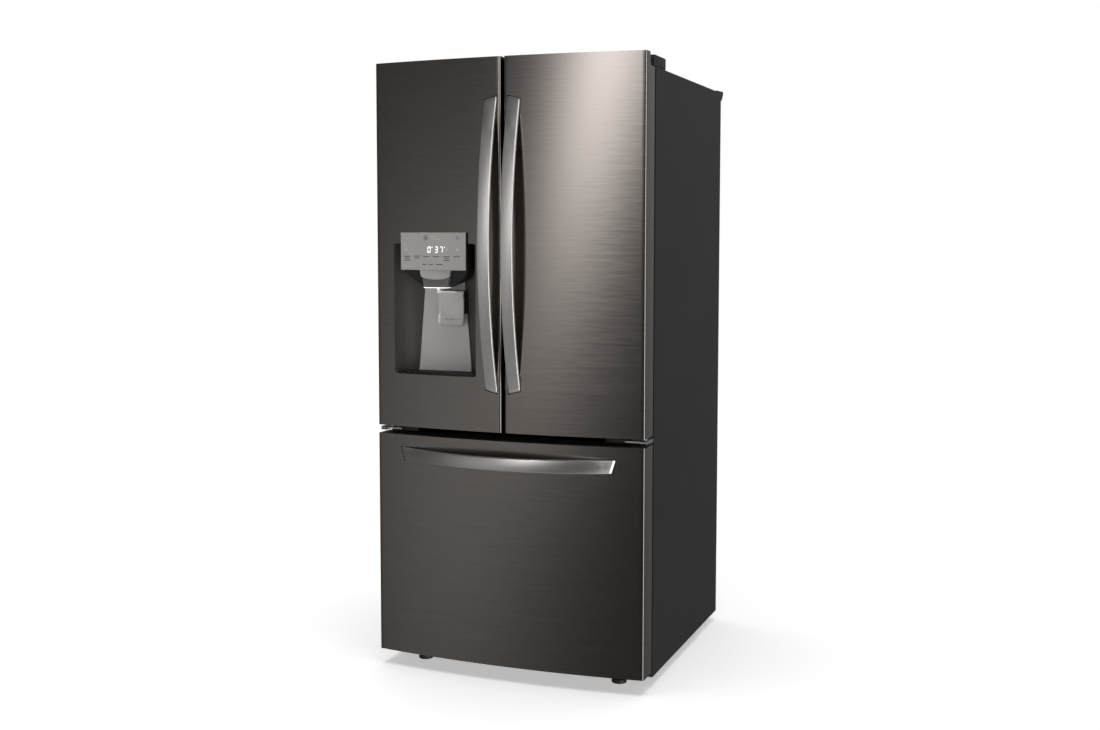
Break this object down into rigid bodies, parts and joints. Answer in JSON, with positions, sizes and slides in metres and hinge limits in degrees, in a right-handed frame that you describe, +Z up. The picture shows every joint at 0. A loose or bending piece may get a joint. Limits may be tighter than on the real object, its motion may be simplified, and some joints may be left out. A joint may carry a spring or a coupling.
{
  "type": "french door refrigerator",
  "caption": "Free-standing refrigerator with french doors over a pull-out freezer drawer, an in-door ice and water dispenser and bowed handles.",
  "frame": {"origin": "middle of the bounding box's base, on the floor", "axes": "+Z up, the front faces -Y, +X to the right as one faces the doors"},
  "size_m": [0.83, 0.943, 1.789],
  "materials": {
    "case_paint": "satin",
    "galvanised_steel": "satin",
    "insulation_foam": "matte",
    "liner_white": "satin",
    "black_stainless": "satin",
    "handle_steel": "satin",
    "door_cap_grey": "satin",
    "gasket_rubber": "matte",
    "hinge_steel": "satin",
    "dark_plastic": "satin",
    "recess_grey": "satin",
    "panel_glass": "gloss",
    "paddle_grey": "satin",
    "clear_plastic": "gloss",
    "bin_plastic": "satin",
    "shelf_glass": "gloss",
    "coil_aluminium": "satin",
    "compressor_black": "gloss",
    "valve_plastic": "satin"
  },
  "bodies": {
    "cabinet": {"case_shell": "case_paint", "case_back": "galvanised_steel", "cabinet_foam": "insulation_foam", "fridge_liner": "liner_white", "freezer_liner": "liner_white", "base_frame": "galvanised_steel", "leveling_feet": "dark_plastic", "rear_top_spacer": "dark_plastic", "door_hinges": "hinge_steel", "hinge_covers": "dark_plastic", "compressor": "compressor_black", "condenser": "coil_aluminium", "fan_motors": "dark_plastic", "machine_cover": "galvanised_steel", "water_inlet": "valve_plastic", "evaporator": "coil_aluminium", "air_ducts": "liner_white", "shelf_tracks": "galvanised_steel", "shelf_frames": "bin_plastic", "shelf_glass": "shelf_glass", "mullion_guide": "liner_white", "freezer_rail_outer": "hinge_steel"},
    "left_door": {"left_door_skin": "black_stainless", "left_door_foam": "insulation_foam", "left_door_liner": "liner_white", "left_door_caps": "door_cap_grey", "left_door_gasket": "gasket_rubber", "left_handle": "handle_steel", "left_door_bins": "clear_plastic", "dispenser_housing": "recess_grey", "dispenser_panel": "panel_glass", "dispenser_chute": "dark_plastic", "drip_tray": "dark_plastic", "ice_room": "liner_white"},
    "right_door": {"right_door_skin": "black_stainless", "right_door_foam": "insulation_foam", "right_door_liner": "liner_white", "right_door_caps": "door_cap_grey", "right_door_gasket": "gasket_rubber", "right_handle": "handle_steel", "right_door_bins": "clear_plastic"},
    "mullion_flap": {"mullion": "door_cap_grey"},
    "paddle": {"dispenser_paddle": "paddle_grey"},
    "freezer_drawer": {"freezer_door_skin": "black_stainless", "freezer_door_foam": "insulation_foam", "freezer_door_liner": "liner_white", "freezer_door_caps": "door_cap_grey", "freezer_door_gasket": "gasket_rubber", "freezer_handle": "handle_steel", "freezer_rail_inner": "hinge_steel", "freezer_basket": "bin_plastic"},
    "freezer_mid_rails": {"freezer_rail_mid": "hinge_steel"},
    "upper_tray": {"freezer_tray": "bin_plastic"},
    "left_crisper": {"crisper_left": "clear_plastic"},
    "right_crisper": {"crisper_right": "clear_plastic"},
    "left_roller": {"rear_roller_left": "bin_plastic"},
    "right_roller": {"rear_roller_right": "bin_plastic"},
    "cooling_fan": {"condenser_fan": "dark_plastic"},
    "freezer_fan": {"evaporator_fan": "dark_plastic"},
    "ice_cover": {"ice_room_cover": "liner_white"}
  },
  "joints": [
    {"name": "left_door_hinge", "type": "hinge", "parent": "cabinet", "child": "left_door", "pos_m": [-0.397, -0.3335, 0.72], "axis": [0, 0, -1], "range_deg": [0, 120]},
    {"name": "right_door_hinge", "type": "hinge", "parent": "cabinet", "child": "right_door", "pos_m": [0.397, -0.3335, 0.72], "axis": [0, 0, 1], "range_deg": [0, 120]},
    {"name": "mullion_fold", "type": "hinge", "parent": "left_door", "child": "mullion_flap", "pos_m": [-0.034, -0.2935, 0.776], "axis": [0, 0, -1], "range_deg": [0, 90]},
    {"name": "freezer_slide", "type": "slide", "parent": "cabinet", "child": "freezer_drawer", "axis": [0, -1, 0], "range_m": [0, 0.45]},
    {"name": "freezer_rail_slide", "type": "slide", "parent": "cabinet", "child": "freezer_mid_rails", "axis": [0, -1, 0], "range_m": [0, 0.225]},
    {"name": "upper_tray_slide", "type": "slide", "parent": "cabinet", "child": "upper_tray", "axis": [0, -1, 0], "range_m": [0, 0.25]},
    {"name": "left_crisper_slide", "type": "slide", "parent": "cabinet", "child": "left_crisper", "axis": [0, -1, 0], "range_m": [0, 0.2]},
    {"name": "right_crisper_slide", "type": "slide", "parent": "cabinet", "child": "right_crisper", "axis": [0, -1, 0], "range_m": [0, 0.2]},
    {"name": "dispenser_paddle_hinge", "type": "hinge", "parent": "left_door", "child": "paddle", "pos_m": [-0.19, -0.3515, 1.125], "axis": [1, 0, 0], "range_deg": [0, 12], "stiffness_Nm_per_rad": 1},
    {"name": "left_roller_spin", "type": "hinge", "parent": "cabinet", "child": "left_roller", "pos_m": [-0.311, 0.3735, 0.014], "axis": [1, 0, 0], "continuous": true},
    {"name": "right_roller_spin", "type": "hinge", "parent": "cabinet", "child": "right_roller", "pos_m": [0.311, 0.3735, 0.014], "axis": [1, 0, 0], "continuous": true},
    {"name": "ice_cover_hinge", "type": "hinge", "parent": "left_door", "child": "ice_cover", "pos_m": [-0.322, -0.1835, 1.46], "axis": [0, 0, 1], "range_deg": [0, 60]},
    {"name": "freezer_fan_spin", "type": "hinge", "parent": "cabinet", "child": "freezer_fan", "pos_m": [0, 0.3225, 0.618], "axis": [0, 1, 0], "continuous": true},
    {"name": "cooling_fan_spin", "type": "hinge", "parent": "cabinet", "child": "cooling_fan", "pos_m": [-0.185, 0.3335, 0.142], "axis": [1, 0, 0], "continuous": true}
  ],
  "couplings": [
    {"joint": "freezer_rail_slide", "follows": "freezer_slide", "ratio": 0.5},
    {"joint": "upper_tray_slide", "follows": "freezer_slide", "ratio": 0.55},
    {"joint": "left_crisper_slide", "follows": "left_door_hinge", "m_per_rad": 0.095},
    {"joint": "ice_cover_hinge", "follows": "left_door_hinge", "ratio": 0.5},
    {"joint": "right_crisper_slide", "follows": "right_door_hinge", "m_per_rad": 0.095}
  ]
}
